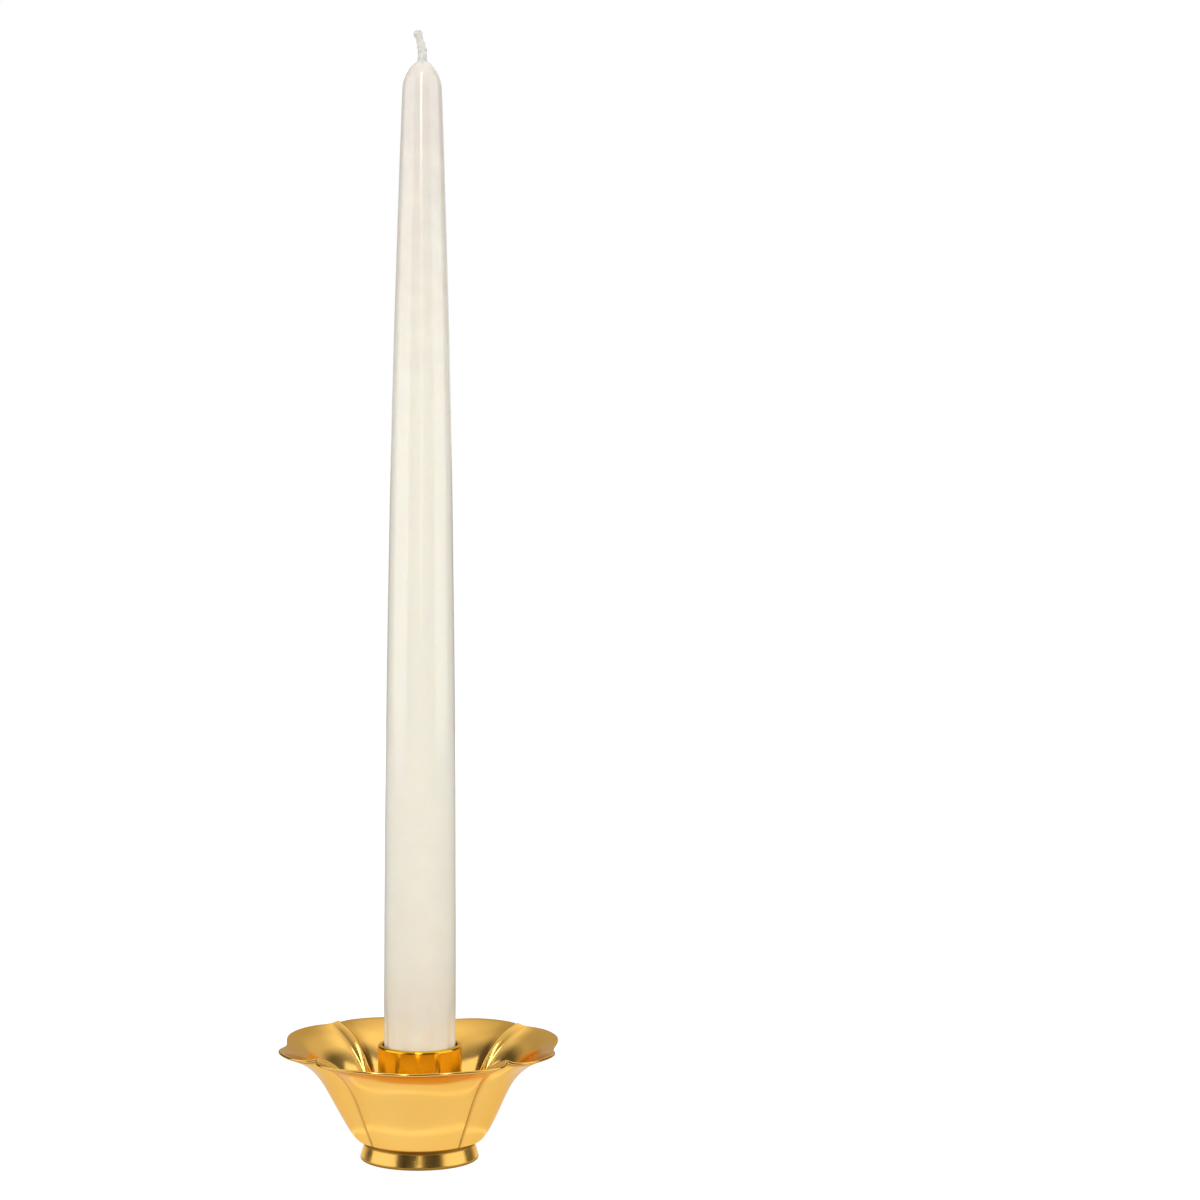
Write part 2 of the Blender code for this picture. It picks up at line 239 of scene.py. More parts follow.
# ---------------------------------------------------------------- material helpers

NOISE_RANGE = (0.3, 0.7)
NOISE_MIDDLE = (0.35, 0.65)


def new_material(name):
    made = bpy.data.materials.new(name)
    made.use_nodes = True
    return made, made.node_tree, made.node_tree.nodes["Principled BSDF"]


def fill_inputs(tree, node, inputs):
    """Gives a node's inputs numbers, colours or other nodes' outputs."""
    for key, value in inputs.items():
        if isinstance(value, bpy.types.NodeSocket):
            tree.links.new(value, node.inputs[key])
        else:
            node.inputs[key].default_value = value


def add_node(tree, kind, inputs=None, **settings):
    made = tree.nodes.new(kind)
    for key, value in settings.items():
        setattr(made, key, value)
    fill_inputs(tree, made, inputs or {})
    return made


def add_math(tree, operation, *values):
    return add_node(tree, "ShaderNodeMath", dict(enumerate(values)), operation=operation).outputs[0]


def add_distance(tree, value, centre):
    """How far the value is from the centre, either way."""
    return add_math(tree, "ABSOLUTE", add_math(tree, "SUBTRACT", value, centre))


def add_range(tree, value, from_range, to_range=(0.0, 1.0)):
    """One range of the value stretched over another, and held at its ends."""
    inputs = {"Value": value, "From Min": from_range[0], "From Max": from_range[1],
              "To Min": to_range[0], "To Max": to_range[1]}
    return add_node(tree, "ShaderNodeMapRange", inputs).outputs["Result"]


def add_noise(tree, where, scale, detail=2.0, roughness=0.5):
    """Noise that stays within about NOISE_RANGE, with this many features to the metre."""
    inputs = {"Vector": where, "Scale": scale, "Detail": detail, "Roughness": roughness}
    return add_node(tree, "ShaderNodeTexNoise", inputs).outputs["Fac"]


def add_colour_mix(tree, amount, first, second):
    return add_node(tree, "ShaderNodeMix", {0: amount, 6: first, 7: second}, data_type="RGBA").outputs[2]


def add_bump(tree, height, strength, distance):
    inputs = {"Height": height, "Strength": strength, "Distance": distance}
    return add_node(tree, "ShaderNodeBump", inputs).outputs["Normal"]


def object_place(tree):
    return add_node(tree, "ShaderNodeTexCoord").outputs["Object"]


def round_the_axis(tree, place, along, across):
    """A vector whose X runs round the Z axis, and whose Y and Z are the radius and the height, so that
    a noise read at it is drawn out along the circles that a buffing wheel or a lathe tool leaves."""
    split = add_node(tree, "ShaderNodeSeparateXYZ", {0: place}).outputs
    turn = add_math(tree, "ARCTAN2", split["Y"], split["X"])
    squares = [add_math(tree, "MULTIPLY", split[axis], split[axis]) for axis in ("X", "Y")]
    radius = add_math(tree, "POWER", add_math(tree, "ADD", *squares), 0.5)
    parts = {
        "X": add_math(tree, "MULTIPLY", turn, along),
        "Y": add_math(tree, "MULTIPLY", radius, across),
        "Z": add_math(tree, "MULTIPLY", split["Z"], across),
    }
    return add_node(tree, "ShaderNodeCombineXYZ", parts).outputs[0]


# ---------------------------------------------------------------- materials

SHEET_BRASS = ((0.88, 0.53, 0.135, 1.0), (0.86, 0.50, 0.113, 1.0))
BAR_BRASS = ((0.87, 0.50, 0.035, 1.0), (0.85, 0.47, 0.025, 1.0))
# Painted shade: the dark brass mixed in at the grooves, under the lip and at the foot's joints
PAINTED_SHADE_BRASS = (0.30, 0.15, 0.02, 1.0)
BRASS_EDGE = (0.90, 0.74, 0.52, 1.0)  # the tint of a glancing reflection
BUFFED_ROUGHNESS = (0.12, 0.19)
SPUN_ROUGHNESS = (0.16, 0.22)
TURNED_ROUGHNESS = (0.13, 0.18)
DULL_ROUGHNESS = 0.25  # added where the metal is dull
BRASS_CLOUD_SCALE = 38.0
BUFFING_LINES = (26.0, 4200.0)  # features to the radian round the axis, and to the metre across
BUFFING_SMEARS = (6.0, 260.0)
LINE_RANGE = (0.35, 0.75)
LINE_ROUGHNESS = (-0.015, 0.035)

# Painted shade: the darker foot hue stands for shade from the socket and the bowl low down
WAX_SHADED_FOOT = (0.83, 0.785, 0.67, 1.0)
WAX_MIDDLE = (0.885, 0.845, 0.737, 1.0)
WAX_TIP = (0.76, 0.705, 0.645, 1.0)
WAX_FOOT_END = (0.03, 0.12)  # heights between which the painted shade at the foot gives way
WAX_TIP_START = 0.24
WAX_CLOUDS = (-0.02, 0.02)  # how far clouds move these heights
WAX_CLOUD_SCALE = 150.0
WAX_SKIN_SCALE = 900.0
WAX_ROUGHNESS = (0.09, 0.14)

WAXED_COTTON = (0.72, 0.70, 0.64, 1.0)
BARE_COTTON = (0.66, 0.65, 0.60, 1.0)
COTTON_ROUGHNESS = (0.65, 0.85)
SOAK_SCALE = 700.0
FIBRE_SCALE = 2600.0
FIBRE_STRETCH = (1.0, 1.0, 0.25)

LIGHT_ZINC = (0.66, 0.67, 0.68, 1.0)
DARK_ZINC = (0.52, 0.53, 0.56, 1.0)
ZINC_ROUGHNESS = (0.22, 0.4)
CRYSTAL_SCALE = 1400.0
TURNING_LINES = (20.0, 6000.0)


def brass_material(name, hues, roughness, line_depth):
    """Polished brass: a cloudy hue, buffing lines round the axis, and painted shade where the mesh
    says: a darker colour there, with rougher metal."""
    finish, tree, shader = new_material(name)
    place = object_place(tree)
    cloud = add_noise(tree, place, BRASS_CLOUD_SCALE, detail=3.0)
    lines = add_noise(tree, round_the_axis(tree, place, *BUFFING_LINES), 1.0, detail=3.0, roughness=0.65)
    smears = add_noise(tree, round_the_axis(tree, place, *BUFFING_SMEARS), 1.0)
    # painted shade from the mesh: it darkens the colour and also roughens the metal
    shade_and_dull = add_node(tree, "ShaderNodeAttribute", attribute_name="shade_and_dull").outputs["Fac"]
    hue = add_colour_mix(tree, add_range(tree, cloud, NOISE_MIDDLE), *hues)
    gloss = add_range(tree, smears, NOISE_RANGE, roughness)
    gloss = add_math(tree, "ADD", gloss, add_range(tree, lines, LINE_RANGE, LINE_ROUGHNESS))
    fill_inputs(tree, shader, {
        "Base Color": add_colour_mix(tree, shade_and_dull, hue, PAINTED_SHADE_BRASS),
        "Metallic": 1.0,
        "Roughness": add_math(tree, "ADD", gloss, add_math(tree, "MULTIPLY", shade_and_dull, DULL_ROUGHNESS)),
        "Specular Tint": BRASS_EDGE,
        "Normal": add_bump(tree, lines, strength=0.25, distance=line_depth),
    })
    return finish


def wax_material():
    """Dipped wax: translucent, cloudy, palest in its middle, with painted shade low down by the socket
    and a soft uneven sheen.
    """
    finish, tree, shader = new_material("dipped_wax")
    place = object_place(tree)
    height = add_node(tree, "ShaderNodeSeparateXYZ", {0: place}).outputs["Z"]
    clouds = add_noise(tree, place, WAX_CLOUD_SCALE, detail=3.0)
    skin = add_noise(tree, place, WAX_SKIN_SCALE)
    tone = add_math(tree, "ADD", height, add_range(tree, clouds, NOISE_RANGE, WAX_CLOUDS))
    hue = add_colour_mix(tree, add_range(tree, tone, WAX_FOOT_END), WAX_SHADED_FOOT, WAX_MIDDLE)
    hue = add_colour_mix(tree, add_range(tree, tone, (WAX_TIP_START, CANDLE_TOP)), hue, WAX_TIP)
    fill_inputs(tree, shader, {
        "Base Color": hue,
        "Roughness": add_range(tree, skin, NOISE_RANGE, WAX_ROUGHNESS),
        "Subsurface Weight": 0.6,
        "Subsurface Radius": (1.0, 0.75, 0.5),
        "Subsurface Scale": 2.2 * MM,
        "Specular IOR Level": 0.8,
        "Normal": add_bump(tree, skin, strength=0.03, distance=0.1 * MM),
    })
    return finish


def cotton_material():
    """Plaited cotton soaked in wax: fibres along the strands, greyer where the wax is thin."""
    finish, tree, shader = new_material("waxed_wick")
    place = object_place(tree)
    drawn_out = add_node(tree, "ShaderNodeMapping", {"Vector": place, "Scale": FIBRE_STRETCH}).outputs[0]
    fibres = add_noise(tree, drawn_out, FIBRE_SCALE, detail=1.0)
    soak = add_noise(tree, place, SOAK_SCALE)
    fill_inputs(tree, shader, {
        "Base Color": add_colour_mix(tree, add_range(tree, soak, NOISE_MIDDLE), WAXED_COTTON, BARE_COTTON),
        "Roughness": add_range(tree, soak, NOISE_MIDDLE, COTTON_ROUGHNESS),
        "Specular IOR Level": 0.25,
        "Normal": add_bump(tree, fibres, strength=0.1, distance=0.05 * MM),
    })
    return finish


def steel_material():
    """Zinc plate: a dull blue-white metal with cloudy crystals and turning marks."""
    finish, tree, shader = new_material("zinc_plate")
    place = object_place(tree)
    crystals = add_noise(tree, place, CRYSTAL_SCALE, detail=3.0)
    lines = add_noise(tree, round_the_axis(tree, place, *TURNING_LINES), 1.0)
    fill_inputs(tree, shader, {
        "Base Color": add_colour_mix(tree, add_range(tree, crystals, NOISE_MIDDLE), LIGHT_ZINC, DARK_ZINC),
        "Metallic": 1.0,
        "Roughness": add_range(tree, crystals, NOISE_RANGE, ZINC_ROUGHNESS),
        "Normal": add_bump(tree, lines, strength=0.3, distance=0.02 * MM),
    })
    return finish


# ---------------------------------------------------------------- mesh helpers

MERGE_DISTANCE = 1e-7
ROUND_STEPS = 192
SMALL_ROUND_STEPS = 96


def add_piece(name, mesh):
    piece = bpy.data.objects.new(name, mesh)
    bpy.context.scene.collection.objects.link(piece)
    return piece


def stand_for(piece, node, body):
    """The piece is shown in place of its node and moves with the node's body."""
    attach(piece, body)
    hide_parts(node)


def piece_from_rows(name, rows, finish, closed=True, shade_and_dull=None, sharp_degrees=40.0):
    """A mesh from rows of points that each run once round the axis, every row joined to the next. In a
    closed one the last row also joins the first. The painted shade, which also roughens the metal, is
    given as one number for each point, in the rows' order."""
    points = [point for row in rows for point in row]
    count = len(rows[0])
    faces = []
    last = len(rows) if closed else len(rows) - 1
    for row in range(last):
        lower = row * count
        upper = (row + 1) % len(rows) * count
        for step in range(count):
            after = (step + 1) % count
            faces.append((lower + step, lower + after, upper + after, upper + step))
    mesh = bpy.data.meshes.new(name)
    mesh.from_pydata(points, [], faces)
    layer = mesh.attributes.new("shade_and_dull", "FLOAT", "POINT")
    layer.data.foreach_set("value", shade_and_dull or [0.0] * len(points))
    tidy_mesh(mesh, sharp_degrees)
    mesh.materials.append(finish)
    return add_piece(name, mesh)


def tidy_mesh(mesh, sharp_degrees):
    """Merges points that meet on the axis, turns the faces outwards and shades them smooth."""
    shape = bmesh.new()
    shape.from_mesh(mesh)
    bmesh.ops.remove_doubles(shape, verts=shape.verts, dist=MERGE_DISTANCE)
    bmesh.ops.recalc_face_normals(shape, faces=shape.faces)
    shape.to_mesh(mesh)
    shape.free()
    mesh.shade_smooth()
    mesh.set_sharp_from_angle(angle=math.radians(sharp_degrees))


def round_angles(steps):
    return [math.tau * step / steps for step in range(steps)]


def turned_rows(outline, steps=ROUND_STEPS):
    """Rows of points round the Z axis, one for each (radius, height) of an outline."""
    return [[(radius * math.cos(angle), radius * math.sin(angle), height) for angle in round_angles(steps)]
            for radius, height in outline]


def arc(centre_radius, centre_height, size, start_degrees, end_degrees, steps=8):
    """Points of a rounded edge in an outline, from one angle to the other."""
    points = []
    for step in range(steps + 1):
        angle = math.radians(start_degrees + (end_degrees - start_degrees) * step / steps)
        points.append((centre_radius + size * math.cos(angle), centre_height + size * math.sin(angle)))
    return points


# ---------------------------------------------------------------- bowl

SHEET = 1.2 * MM
RIM_SHEET = 0.9 * MM  # pressing the flare thins it
SHEET_POWER = 4
PETALS = 4
HALF_PETAL = math.pi / PETALS
PETAL_WALL = {"floor": 19.5 * MM, "belly": 12.2 * MM, "belly_power": 0.72,
              "flare": 8.7 * MM, "flare_power": 7.0}
CREASE_WALL = {"floor": 18.8 * MM, "belly": 12.0 * MM, "belly_power": 0.88,
               "flare": 9.5 * MM, "flare_power": 6.5}
PETAL_ROUNDNESS = 2.2
RIM_LOBE_RADIUS = 45.9 * MM
RIM_NOTCH_DEPTH = 3.5 * MM
RIM_NOTCH_ANGLE = math.radians(13.5)
RIM_LOBE_ANGLE = math.radians(28.0)
RIM_CREASE_DROP = 4.0 * MM
RIM_CREASE_POWER = 3.0
RIM_LIFT_POWER = 3.0
RIM_HEIGHT = 35.6 * MM
RIM_NOTCH_DIP = 1.0 * MM
RIM_CREASE_PEAK = 0.9 * MM
RIM_PEAK_ANGLE = math.radians(2.0)
FULL_PETAL = 2  # the petal towards -X, which stands out further than the others
FULLER_BY = 1.2 * MM
FULLEST_POWER = 1.4
WALL_END = 0.99  # the rise where the wall stops and the rounded edge begins
SCREW_HOLE_RADIUS = 2.2 * MM
FLOOR_ROWS = 6
BOWL_ROWS = 80
BOWL_ROW_SPACING = 1.4  # above 1, the rows are closer together near the floor
EDGE_STEPS = 9
HALF_PETAL_COLUMNS = 40
COLUMN_SPACING = 1.5  # above 1, the columns are closer together near the creases
NORMAL_STEP = 0.8 * MM
RISE_STEP = 0.004
CREASE_START = 0.12  # the rise where a crease is fully pressed
CREASE_FADE = 0.1  # how far below the rim, as a rise, it starts to fade
CREASE_AT_RIM = 0.25
GROOVE_DEPTH = 0.5 * MM
GROOVE_WIDTH = 0.9 * MM
GROOVE_POWER = 1.5
GROOVE_SHADE = 0.9  # painted shade in the grooves, darkest at the floor and fading upwards
RIDGE_HEIGHT = 0.5 * MM
RIDGE_WIDTH = 1.25 * MM
WORN_CREASE = 2  # the crease between -X and -Y, which the buff has smoothed above its middle
WORN_FROM = 0.5
WORN_OVER = 0.2
WORN_BLUNTNESS = math.radians(10.0)
# Painted shade in a line under the lip: how dark it is
LIP_SHADE_DARKNESS = 1.0
LIP_SHADE = 0.03  # how far down from the rim, as a rise, shade is painted under the lip


def wall_radius(wall, rise):
    """Radius of a wall line at a rise from 0 at the floor to 1 at the rim."""
    belly = wall["belly"] * rise ** wall["belly_power"]
    flare = wall["flare"] * rise ** wall["flare_power"]
    return wall["floor"] + belly + flare


def rim_radius(turn):
    notch = RIM_NOTCH_DEPTH * math.exp(-((turn / RIM_NOTCH_ANGLE) ** 2))
    past_lobe = max(0.0, abs(turn) - RIM_LOBE_ANGLE) / (HALF_PETAL - RIM_LOBE_ANGLE)
    return RIM_LOBE_RADIUS - notch - RIM_CREASE_DROP * past_lobe ** RIM_CREASE_POWER


def rim_height(turn):
    dip = RIM_NOTCH_DIP * math.exp(-((turn / RIM_NOTCH_ANGLE) ** 2))
    peak = RIM_CREASE_PEAK * math.exp(-(HALF_PETAL - abs(turn)) / RIM_PEAK_ANGLE)
    return RIM_HEIGHT - dip + peak


def petal_turn(angle):
    """How far an angle is from the middle of its petal."""
    return (angle + HALF_PETAL) % (2 * HALF_PETAL) - HALF_PETAL


def crease_left(angle, rise):
    """How much of a crease's line there is at a rise, from 0 to 1."""
    crease = math.floor(angle / (2 * HALF_PETAL)) % PETALS
    if crease != WORN_CREASE:
        return 1.0
    return min(1.0, max(0.0, 1.0 - (rise - WORN_FROM) / WORN_OVER))


def fuller_by(angle, rise):
    """How much further out one petal stands, most above its middle and not at all at its edges."""
    if round(angle / (2 * HALF_PETAL)) % PETALS != FULL_PETAL:
        return 0.0
    across = math.cos(petal_turn(angle) / HALF_PETAL * math.pi / 2) ** 2
    return FULLER_BY * across * math.sin(math.pi * rise ** FULLEST_POWER)


def petal_fullness(angle, rise):
    """From 0 at a crease to 1 in the middle of a petal. A worn crease is blunt, and so never at 0."""
    from_crease = HALF_PETAL - abs(petal_turn(angle))
    blunted = math.hypot(from_crease, WORN_BLUNTNESS * (1.0 - crease_left(angle, rise)))
    return 1.0 - max(0.0, 1.0 - blunted / HALF_PETAL) ** PETAL_ROUNDNESS


def wall_point(angle, rise):
    """A point of the bowl's outer side, before its creases are sharpened."""
    turn = petal_turn(angle)
    fullness = petal_fullness(angle, rise)

    def body(at):
        crease = wall_radius(CREASE_WALL, at)
        return crease + (wall_radius(PETAL_WALL, at) - crease) * fullness

    radius = body(rise) + (rim_radius(turn) - body(1.0)) * rise ** RIM_LIFT_POWER + fuller_by(angle, rise)
    height = FLOOR_HEIGHT + (rim_height(turn) - FLOOR_HEIGHT) * rise
    return Vector((radius * math.cos(angle), radius * math.sin(angle), height))


def wall_frame(angle, rise):
    """The point, the way into the bowl, and the way up the wall. The step round the wall is wide, so
    that the way in turns gently across a crease and the inner side becomes a rounded ridge."""
    here = wall_point(angle, rise)
    swing = NORMAL_STEP / max(here.xy.length, NORMAL_STEP)
    low = max(0.0, rise - RISE_STEP)
    up = (wall_point(angle, low + 2 * RISE_STEP) - wall_point(angle, low)).normalized()
    round_about = wall_point(angle + swing, rise) - wall_point(angle - swing, rise)
    inwards = up.cross(round_about).normalized()
    outwards_and_down = Vector((here.x, here.y, -CANDLE_TOP))
    if inwards.dot(outwards_and_down) > 0:
        inwards.negate()
    return here, inwards, up


def crease_distance(angle, point):
    """How far a point is from the nearest crease, round the bowl."""
    return (HALF_PETAL - abs(petal_turn(angle))) * point.xy.length


def groove_profile(distance):
    """From 1 in the middle of a groove to 0 at its side."""
    return max(0.0, 1.0 - distance / GROOVE_WIDTH) ** GROOVE_POWER


def wall_pair(angle, rise):
    """The outer and the inner point of the sheet, with its groove outside and its ridge inside."""
    here, inwards, up = wall_frame(angle, rise)
    distance = crease_distance(angle, here)
    strength = min(1.0, rise / CREASE_START) * min(1.0, (1.0 - rise) / CREASE_FADE + CREASE_AT_RIM)
    groove = GROOVE_DEPTH * strength * crease_left(angle, rise) * groove_profile(distance)
    ridge = RIDGE_HEIGHT * strength * math.exp(-((distance / RIDGE_WIDTH) ** 2))
    sheet = SHEET + (RIM_SHEET - SHEET) * rise ** SHEET_POWER
    outer = here + inwards * groove
    inner = here + inwards * (sheet + ridge)
    return outer, inner, up


def bowl_columns():
    """Angles round the bowl, closest together at the creases."""
    half = [HALF_PETAL * (1 - (1 - step / HALF_PETAL_COLUMNS) ** COLUMN_SPACING)
            for step in range(HALF_PETAL_COLUMNS + 1)]
    turns = [-turn for turn in reversed(half[1:])] + half[:-1]
    return [petal * 2 * HALF_PETAL + turn for petal in range(PETALS) for turn in turns]


def bowl_floor(columns, wall_start):
    """Rows of the floor's underside, from the screw's hole out to where the wall starts."""
    rows = []
    for step in range(FLOOR_ROWS):
        along = step / FLOOR_ROWS
        row = []
        for angle, end in zip(columns, wall_start):
            radius = SCREW_HOLE_RADIUS + (end.xy.length - SCREW_HOLE_RADIUS) * along
            row.append(Vector((radius * math.cos(angle), radius * math.sin(angle), FLOOR_HEIGHT)))
        rows.append(row)
    return rows


def bowl_edge(wall_end):
    """Rows that round the sheet's edge, from its outer side to its inner side."""
    rows = []
    for step in range(1, EDGE_STEPS):
        turn = math.pi * step / EDGE_STEPS
        row = []
        for below, above, up in wall_end:
            middle = (below + above) / 2
            row.append(middle + (below - middle) * math.cos(turn) + up * (RIM_SHEET / 2 * math.sin(turn)))
        rows.append(row)
    return rows


def bowl_painted_shade(columns, rises, outer):
    """How much painted shade each outer point has: in the grooves, less so upwards, and in a line under the
    lip.
    """
    shade_and_dull = []
    for rise, row in zip(rises, outer):
        lip = LIP_SHADE_DARKNESS * max(0.0, 1.0 - (WALL_END - rise) / LIP_SHADE)
        for angle, point in zip(columns, row):
            # the grooves' painted shade fades upwards, and is gone from the worn crease's upper part
            groove_shade_fade = (1.0 - rise) ** 0.5 * crease_left(angle, rise)
            groove = GROOVE_SHADE * groove_shade_fade * groove_profile(crease_distance(angle, point))
            shade_and_dull.append(max(groove, lip))
    return shade_and_dull


def make_bowl(brass):
    """One closed sheet: out along the underside, up the outer side, round the edge and back inside."""
    columns = bowl_columns()
    rises = [WALL_END * (row / BOWL_ROWS) ** BOWL_ROW_SPACING for row in range(BOWL_ROWS + 1)]
    pairs = [[wall_pair(angle, rise) for angle in columns] for rise in rises]
    outer = [[pair[0] for pair in row] for row in pairs]
    inner = [[pair[1] for pair in row] for row in pairs]
    under = bowl_floor(columns, outer[0])
    over = [[Vector((p.x, p.y, FLOOR_HEIGHT + SHEET)) for p in row] for row in reversed(under)]
    rows = under + outer + bowl_edge(pairs[-1]) + inner[::-1] + over
    shade_and_dull = [0.0] * (len(under) * len(columns)) + bowl_painted_shade(columns, rises, outer)
    shade_and_dull += [0.0] * (len(rows) * len(columns) - len(shade_and_dull))
    return piece_from_rows("bowl", rows, brass, shade_and_dull=shade_and_dull, sharp_degrees=60.0)


# ---------------------------------------------------------------- foot and socket

FOOT_NECK_RADIUS = FOOT_RADIUS - 1.3 * MM
FOOT_PLATE = 1.2 * MM
FOOT_WALL = 1.5 * MM
FOOT_THICKENING = 0.3 * MM  # of the wall, at its lower edge
FOOT_TOP_EDGE = 0.3 * MM
FOOT_INNER_CORNER = 0.8 * MM
FOOT_BEAD_TOP = 0.8 * MM
FOOT_BEAD_EDGE = 0.5 * MM
FOOT_FLARE_POWER = 1.1
FOOT_FLARE_STEPS = 24
JOINT_FADE = 0.5 * MM
JOINT_SHADE_HEIGHT = FOOT_HEIGHT - 1.5 * MM  # painted shade above this, where the foot meets the bowl
BEAD_SHADE_HEIGHT = 1.1 * MM  # and below this, where it meets the bead
SOCKET_BORE_RADIUS = 11.7 * MM
SOCKET_FLOOR = 4.4 * MM
SOCKET_FLOOR_CORNER = 0.5 * MM
SOCKET_EDGE = 0.9 * MM
SOCKET_INNER_EDGE = 0.35 * MM
SOCKET_LOWER_EDGE = 0.4 * MM
SOCKET_TAPPED_DEPTH = 3.4 * MM


def foot_flare():
    """The outside of the spun wall, from the top down to the bead."""
    top = FOOT_HEIGHT - FOOT_TOP_EDGE
    points = []
    for step in range(1, FOOT_FLARE_STEPS + 1):
        along = step / FOOT_FLARE_STEPS
        radius = FOOT_NECK_RADIUS + (FOOT_RADIUS - FOOT_NECK_RADIUS) * along ** FOOT_FLARE_POWER
        points.append((radius, top + (FOOT_BEAD_TOP - top) * along))
    return points


def make_foot(brass):
    """A spun ring that flares down to a rounded bead, with a flat plate on top for the bowl."""
    under = FOOT_HEIGHT - FOOT_PLATE
    outline = [
        (SCREW_HOLE_RADIUS, FOOT_HEIGHT),
        *arc(FOOT_NECK_RADIUS - FOOT_TOP_EDGE, FOOT_HEIGHT - FOOT_TOP_EDGE, FOOT_TOP_EDGE, 90, 0),
        *foot_flare(),
        *arc(FOOT_RADIUS - FOOT_BEAD_EDGE, FOOT_BEAD_EDGE, FOOT_BEAD_EDGE, 0, -90),
        (FOOT_RADIUS - FOOT_WALL - FOOT_THICKENING, 0.0),
        *arc(FOOT_NECK_RADIUS - FOOT_WALL - FOOT_INNER_CORNER, under - FOOT_INNER_CORNER,
             FOOT_INNER_CORNER, 0, 90),
        (SCREW_HOLE_RADIUS, under),
    ]
    # painted shade at the top, where the foot meets the bowl, and at the bead by the floor
    shade_and_dull = []
    for _, height in outline:
        joint = (height - JOINT_SHADE_HEIGHT) / JOINT_FADE
        bead = (BEAD_SHADE_HEIGHT - height) / JOINT_FADE
        shade_and_dull += [min(1.0, max(0.0, joint, bead))] * ROUND_STEPS
    return piece_from_rows("foot", turned_rows(outline), brass, shade_and_dull=shade_and_dull)


def make_socket(brass):
    """A turned cup with a thick floor, tapped from below for the screw."""
    floor = SOCKET_BOTTOM + SOCKET_FLOOR
    tapped = SOCKET_BOTTOM + SOCKET_TAPPED_DEPTH
    outline = [
        (0.0, floor),
        *arc(SOCKET_BORE_RADIUS - SOCKET_FLOOR_CORNER, floor + SOCKET_FLOOR_CORNER,
             SOCKET_FLOOR_CORNER, -90, 0),
        *arc(SOCKET_BORE_RADIUS + SOCKET_INNER_EDGE, SOCKET_TOP - SOCKET_INNER_EDGE,
             SOCKET_INNER_EDGE, 180, 90),
        *arc(SOCKET_RADIUS - SOCKET_EDGE, SOCKET_TOP - SOCKET_EDGE, SOCKET_EDGE, 90, 0),
        *arc(SOCKET_RADIUS - SOCKET_LOWER_EDGE, SOCKET_BOTTOM + SOCKET_LOWER_EDGE,
             SOCKET_LOWER_EDGE, 0, -90),
        (SCREW_HOLE_RADIUS, SOCKET_BOTTOM),
        (SCREW_HOLE_RADIUS, tapped),
        (0.0, tapped),
    ]
    return piece_from_rows("socket", turned_rows(outline), brass, closed=False)


# ---------------------------------------------------------------- screw and washer

SCREW_RADIUS = 1.9 * MM
SCREW_HEAD_HEIGHT = 1.7 * MM
SCREW_HEAD_CORNER = 0.7 * MM
SCREW_END_CHAMFER = 0.4 * MM
SLOT_WIDTH = 1.0 * MM
SLOT_DEPTH = 0.8 * MM
THREAD_PITCH = 0.7 * MM
THREAD_DEPTH = 0.3 * MM
THREAD_STEPS = 6
THREAD_START = 0.3 * MM  # above the head
THREAD_STOP = 0.5 * MM  # below the screw's end
WASHER_EDGE = 0.15 * MM


def thread_ridges(head_top):
    """Rolled ridges up the shank, which stand for its thread."""
    points = []
    turns = int((SCREW_END - head_top) / THREAD_PITCH)
    for step in range(turns * THREAD_STEPS):
        height = head_top + THREAD_START + THREAD_PITCH * step / THREAD_STEPS
        if height < SCREW_END - THREAD_STOP:
            wave = 0.5 + 0.5 * math.cos(math.tau * step / THREAD_STEPS)
            points.append((SCREW_RADIUS - THREAD_DEPTH * wave, height))
    return points


def make_screw(steel):
    """A slotted screw, head down."""
    head_top = SCREW_BOTTOM + SCREW_HEAD_HEIGHT
    outline = [
        (0.0, SCREW_BOTTOM),
        *arc(SCREW_HEAD_RADIUS - SCREW_HEAD_CORNER, SCREW_BOTTOM + SCREW_HEAD_CORNER,
             SCREW_HEAD_CORNER, -90, 0),
        (SCREW_HEAD_RADIUS, head_top),
        (SCREW_RADIUS, head_top),
        *thread_ridges(head_top),
        (SCREW_RADIUS - SCREW_END_CHAMFER, SCREW_END),
        (0.0, SCREW_END),
    ]
    screw = piece_from_rows("screw", turned_rows(outline, SMALL_ROUND_STEPS), steel, closed=False)
    cut_slot(screw)
    return screw


def cut_slot(screw):
    """Cuts the driver's slot across the head."""
    slot = bmesh.new()
    bmesh.ops.create_cube(slot, size=1.0)
    bmesh.ops.scale(slot, vec=(3 * SCREW_HEAD_RADIUS, SLOT_WIDTH, 2 * SLOT_DEPTH), verts=slot.verts)
    bmesh.ops.translate(slot, vec=(0, 0, SCREW_BOTTOM), verts=slot.verts)
    cutter_mesh = bpy.data.meshes.new("slot_cutter")
    slot.to_mesh(cutter_mesh)
    slot.free()
    cutter = add_piece("slot_cutter", cutter_mesh)
    cut = screw.modifiers.new("driver slot", "BOOLEAN")
    cut.operation = "DIFFERENCE"
    cut.object = cutter
    evaluated = screw.evaluated_get(bpy.context.evaluated_depsgraph_get())
    made = bpy.data.meshes.new_from_object(evaluated)
    screw.modifiers.clear()
    screw.data = made
    bpy.data.objects.remove(cutter)


def make_washer(steel):
    outline = [
        (SCREW_HOLE_RADIUS, WASHER_TOP),
        *arc(WASHER_RADIUS - WASHER_EDGE, WASHER_TOP - WASHER_EDGE, WASHER_EDGE, 90, 0, steps=4),
        *arc(WASHER_RADIUS - WASHER_EDGE, WASHER_BOTTOM + WASHER_EDGE, WASHER_EDGE, 0, -90, steps=4),
        (SCREW_HOLE_RADIUS, WASHER_BOTTOM),
    ]
    return piece_from_rows("washer", turned_rows(outline, SMALL_ROUND_STEPS), steel)


# ---------------------------------------------------------------- candle

